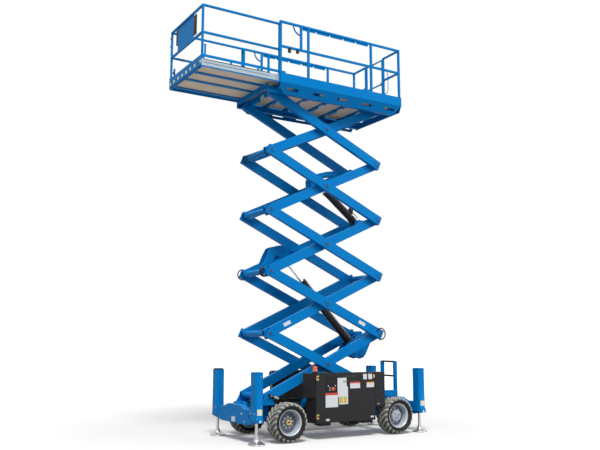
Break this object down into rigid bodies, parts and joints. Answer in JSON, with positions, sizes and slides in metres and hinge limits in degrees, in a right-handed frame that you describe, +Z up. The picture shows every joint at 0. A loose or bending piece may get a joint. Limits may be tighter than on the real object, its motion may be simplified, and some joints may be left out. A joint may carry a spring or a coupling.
{
  "type": "rough terrain scissor lift",
  "caption": "Self-propelled scissor lift with a raised stack of crossed arms, a railed platform, a roll-out deck and levelling jacks",
  "frame": {"origin": "On the ground under the middle of the whole machine's box, as stored with the stack raised and the roll-out deck out", "axes": "+X forward, towards the steered wheels and the roll-out deck; +Y left; +Z up"},
  "size_m": [4.6939, 1.764, 7.415],
  "materials": {
    "blue_paint": "satin machine paint",
    "black_paint": "satin black moulded and painted covers",
    "tyre": "dusty ribbed rubber",
    "rim": "light grey painted steel",
    "steel": "machined steel",
    "chrome": "hard chrome",
    "deck": "coated plywood",
    "amber": "amber lens",
    "alloy": "mill aluminium"
  },
  "bodies": {
    "chassis": {"chassis_frame": "blue_paint", "front_outrigger": "blue_paint", "rear_outrigger": "blue_paint", "front_axle": "blue_paint", "rear_axle": "blue_paint", "control_module": "black_paint", "engine_module": "black_paint", "engine_block": "steel", "ladder": "blue_paint", "beacon": "amber"},
    "knuckle_left": {"knuckle_left": "steel"},
    "knuckle_right": {"knuckle_right": "steel"},
    "control_door": {"control_door": "black_paint"},
    "engine_door": {"engine_door": "black_paint"},
    "platform": {"platform_frame": "blue_paint", "platform_deck": "deck", "side_guardrails": "blue_paint", "rear_guardrail": "blue_paint"},
    "entry_gate": {"entry_gate": "blue_paint"},
    "extension": {"extension_frame": "blue_paint", "extension_deck": "deck", "extension_guardrails": "blue_paint", "side_rails": "alloy", "toe_board": "blue_paint", "front_panel": "blue_paint", "control_box": "black_paint"},
    "inner_arms_1": {"inner_arms_1": "blue_paint"},
    "outer_arms_1": {"outer_arms_1": "blue_paint"},
    "inner_arms_2": {"inner_arms_2": "blue_paint"},
    "outer_arms_2": {"outer_arms_2": "blue_paint"},
    "inner_arms_3": {"inner_arms_3": "blue_paint"},
    "outer_arms_3": {"outer_arms_3": "blue_paint"},
    "inner_arms_4": {"inner_arms_4": "blue_paint"},
    "outer_arms_4": {"outer_arms_4": "blue_paint"},
    "inner_arms_5": {"inner_arms_5": "blue_paint"},
    "outer_arms_5": {"outer_arms_5": "blue_paint"},
    "lower_barrel": {"lower_barrel": "black_paint"},
    "lower_ram": {"lower_ram": "chrome"},
    "upper_barrel": {"upper_barrel": "black_paint"},
    "upper_ram": {"upper_ram": "chrome"},
    "wheel_front_left": {"tyre_front_left": "tyre", "rim_front_left": "rim"},
    "jack_leg_front_left": {"jack_leg_front_left": "steel"},
    "wheel_front_right": {"tyre_front_right": "tyre", "rim_front_right": "rim"},
    "jack_leg_front_right": {"jack_leg_front_right": "steel"},
    "wheel_rear_left": {"tyre_rear_left": "tyre", "rim_rear_left": "rim"},
    "jack_leg_rear_left": {"jack_leg_rear_left": "steel"},
    "wheel_rear_right": {"tyre_rear_right": "tyre", "rim_rear_right": "rim"},
    "jack_leg_rear_right": {"jack_leg_rear_right": "steel"}
  },
  "joints": [
    {"name": "lift", "type": "hinge", "parent": "chassis", "child": "inner_arms_1", "pos_m": [0.877, 0, 0.7225], "axis": [0, 1, 0], "range_deg": [-20.67, 32.33]},
    {"name": "scissor_outer_1", "type": "hinge", "parent": "inner_arms_1", "child": "outer_arms_1", "pos_m": [-0.2998, 0, 1.26302], "axis": [0, 1, 0], "range_deg": [-64.71, 41.39]},
    {"name": "scissor_outer_2", "type": "hinge", "parent": "inner_arms_1", "child": "outer_arms_2", "pos_m": [-1.4766, 0, 1.80354], "axis": [0, 1, 0], "range_deg": [-64.71, 41.39]},
    {"name": "scissor_inner_2", "type": "hinge", "parent": "outer_arms_2", "child": "inner_arms_2", "pos_m": [-0.2998, 0, 2.34407], "axis": [0, 1, 0], "range_deg": [-41.39, 64.71]},
    {"name": "scissor_inner_3", "type": "hinge", "parent": "outer_arms_2", "child": "inner_arms_3", "pos_m": [0.877, 0, 2.88459], "axis": [0, 1, 0], "range_deg": [-41.39, 64.71]},
    {"name": "scissor_outer_3", "type": "hinge", "parent": "inner_arms_3", "child": "outer_arms_3", "pos_m": [-0.2998, 0, 3.42511], "axis": [0, 1, 0], "range_deg": [-64.71, 41.39]},
    {"name": "scissor_outer_4", "type": "hinge", "parent": "inner_arms_3", "child": "outer_arms_4", "pos_m": [-1.4766, 0, 3.96563], "axis": [0, 1, 0], "range_deg": [-64.71, 41.39]},
    {"name": "scissor_inner_4", "type": "hinge", "parent": "outer_arms_4", "child": "inner_arms_4", "pos_m": [-0.2998, 0, 4.50615], "axis": [0, 1, 0], "range_deg": [-41.39, 64.71]},
    {"name": "scissor_inner_5", "type": "hinge", "parent": "outer_arms_4", "child": "inner_arms_5", "pos_m": [0.877, 0, 5.04667], "axis": [0, 1, 0], "range_deg": [-41.39, 64.71]},
    {"name": "scissor_outer_5", "type": "hinge", "parent": "inner_arms_5", "child": "outer_arms_5", "pos_m": [-0.2998, 0, 5.5872], "axis": [0, 1, 0], "range_deg": [-64.71, 41.39]},
    {"name": "platform_level", "type": "hinge", "parent": "outer_arms_5", "child": "platform", "pos_m": [0.877, 0, 6.12772], "axis": [0, 1, 0], "range_deg": [-20.72, 32.38]},
    {"name": "lower_barrel_pivot", "type": "hinge", "parent": "inner_arms_1", "child": "lower_barrel", "pos_m": [-1.34956, 0, 1.42606], "axis": [0, 1, 0], "range_deg": [-58.25, 37.26]},
    {"name": "lower_ram_slide", "type": "slide", "parent": "lower_barrel", "child": "lower_ram", "axis": [0.687, 0, 0.7266], "range_m": [-0.6004, 0.9386]},
    {"name": "upper_barrel_pivot", "type": "hinge", "parent": "inner_arms_3", "child": "upper_barrel", "pos_m": [-1.31965, 0, 3.95516], "axis": [0, 1, 0], "range_deg": [-63.1, 40.36]},
    {"name": "upper_ram_slide", "type": "slide", "parent": "upper_barrel", "child": "upper_ram", "axis": [0.7786, 0, 0.6275], "range_m": [-0.1974, 0.3081]},
    {"name": "extension_slide", "type": "slide", "parent": "platform", "child": "extension", "axis": [1, 0, 0], "range_m": [-1.5, 0]},
    {"name": "gate_hinge", "type": "hinge", "parent": "platform", "child": "entry_gate", "pos_m": [-1.871, 0.228, 6.9], "axis": [0, 0, 1], "range_deg": [0, 90]},
    {"name": "control_door_hinge", "type": "hinge", "parent": "chassis", "child": "control_door", "pos_m": [0.146, 0.806, 0.7], "axis": [0, 0, -1], "range_deg": [0, 95]},
    {"name": "engine_door_hinge", "type": "hinge", "parent": "chassis", "child": "engine_door", "pos_m": [0.146, -0.806, 0.7], "axis": [0, 0, 1], "range_deg": [0, 95]},
    {"name": "steer_left", "type": "hinge", "parent": "chassis", "child": "knuckle_left", "pos_m": [0.655, 0.5, 0.33], "axis": [0, 0, 1], "range_deg": [-30, 30]},
    {"name": "steer_right", "type": "hinge", "parent": "chassis", "child": "knuckle_right", "pos_m": [0.655, -0.5, 0.33], "axis": [0, 0, 1], "range_deg": [-30.05, 30.05]},
    {"name": "wheel_front_left", "type": "hinge", "parent": "knuckle_left", "child": "wheel_front_left", "pos_m": [0.655, 0.7225, 0.33], "axis": [0, 1, 0], "continuous": true},
    {"name": "wheel_front_right", "type": "hinge", "parent": "knuckle_right", "child": "wheel_front_right", "pos_m": [0.655, -0.7225, 0.33], "axis": [0, 1, 0], "continuous": true},
    {"name": "wheel_rear_left", "type": "hinge", "parent": "chassis", "child": "wheel_rear_left", "pos_m": [-1.635, 0.7225, 0.33], "axis": [0, 1, 0], "continuous": true},
    {"name": "wheel_rear_right", "type": "hinge", "parent": "chassis", "child": "wheel_rear_right", "pos_m": [-1.635, -0.7225, 0.33], "axis": [0, 1, 0], "continuous": true},
    {"name": "jack_front_left", "type": "slide", "parent": "chassis", "child": "jack_leg_front_left", "axis": [0, 0, 1], "range_m": [-0.2, 0.2]},
    {"name": "jack_front_right", "type": "slide", "parent": "chassis", "child": "jack_leg_front_right", "axis": [0, 0, 1], "range_m": [-0.2, 0.2]},
    {"name": "jack_rear_left", "type": "slide", "parent": "chassis", "child": "jack_leg_rear_left", "axis": [0, 0, 1], "range_m": [-0.2, 0.2]},
    {"name": "jack_rear_right", "type": "slide", "parent": "chassis", "child": "jack_leg_rear_right", "axis": [0, 0, 1], "range_m": [-0.2, 0.2]}
  ],
  "couplings": [
    {"joint": "scissor_outer_1", "follows": "lift", "ratio": -2},
    {"joint": "scissor_outer_2", "follows": "lift", "ratio": -2},
    {"joint": "scissor_inner_2", "follows": "lift", "ratio": 2},
    {"joint": "scissor_inner_3", "follows": "lift", "ratio": 2},
    {"joint": "scissor_outer_3", "follows": "lift", "ratio": -2},
    {"joint": "scissor_outer_4", "follows": "lift", "ratio": -2},
    {"joint": "scissor_inner_4", "follows": "lift", "ratio": 2},
    {"joint": "scissor_inner_5", "follows": "lift", "ratio": 2},
    {"joint": "scissor_outer_5", "follows": "lift", "ratio": -2},
    {"joint": "platform_level", "follows": "lift", "ratio": 1},
    {"joint": "lower_barrel_pivot", "follows": "lift", "ratio": -1.8},
    {"joint": "lower_ram_slide", "follows": "lift", "m_per_rad": 1.6616},
    {"joint": "upper_barrel_pivot", "follows": "lift", "ratio": -1.95},
    {"joint": "upper_ram_slide", "follows": "lift", "m_per_rad": 0.54431},
    {"joint": "steer_right", "follows": "steer_left", "ratio": 1}
  ]
}
